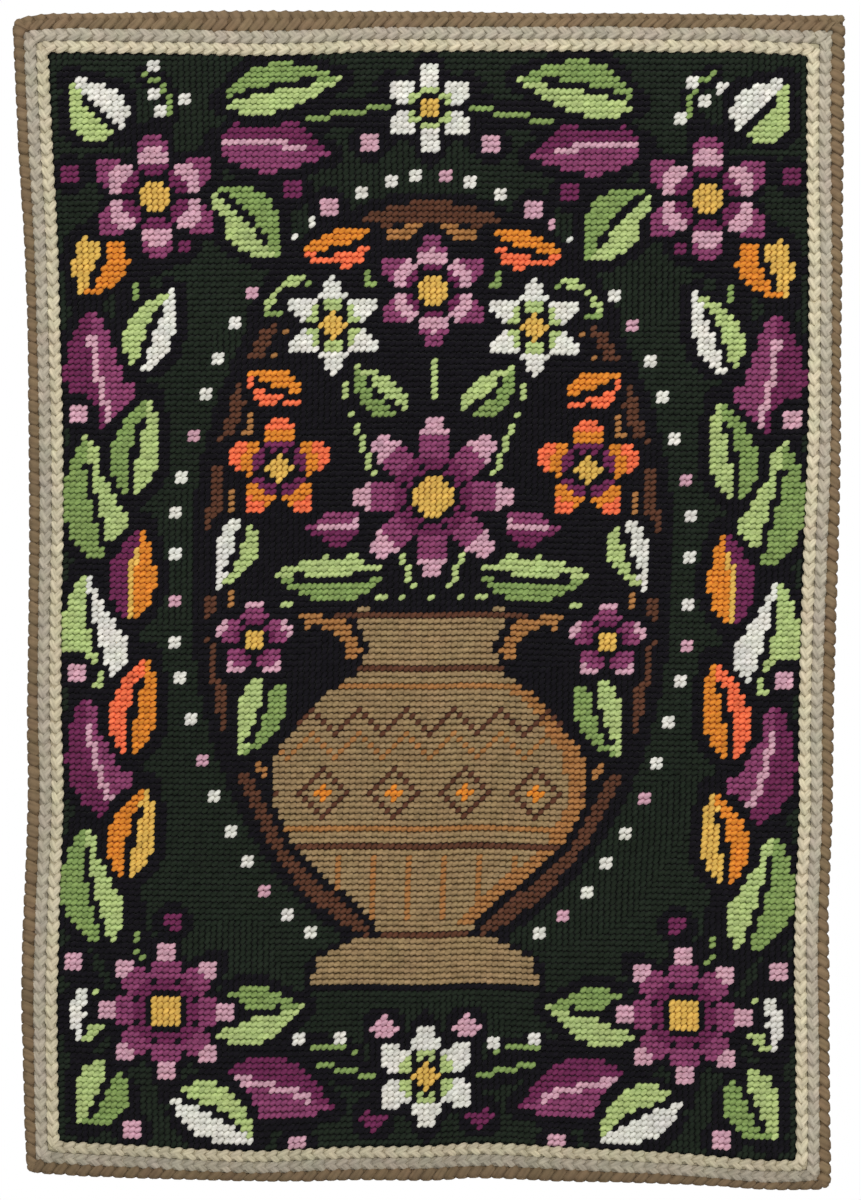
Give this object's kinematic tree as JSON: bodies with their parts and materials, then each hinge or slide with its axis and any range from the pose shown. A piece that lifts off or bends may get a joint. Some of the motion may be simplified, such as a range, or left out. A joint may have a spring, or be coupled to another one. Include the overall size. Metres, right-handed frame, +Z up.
{
  "type": "needlepoint wall hanging",
  "caption": "Wool needlepoint wall hanging: a stitched canvas framed by plaited bands, with a binding worked over its folded edge, hanging flat from its top edge.",
  "frame": {"origin": "middle of the top edge, on the plane of the wall behind it", "axes": "+X to the right as seen from the front, +Y into the wall, +Z up"},
  "size_m": [0.5097, 0.0108, 0.7219],
  "materials": {
    "canvas_wool": "matte wool tent stitch",
    "cream_wool": "matte plaited wool",
    "greige_wool": "matte plaited wool",
    "taupe_wool": "matte plaited wool"
  },
  "bodies": {
    "root": {"canvas": "canvas_wool", "band_cream": "cream_wool", "band_greige": "greige_wool", "binding": "taupe_wool"}
  },
  "joints": []
}
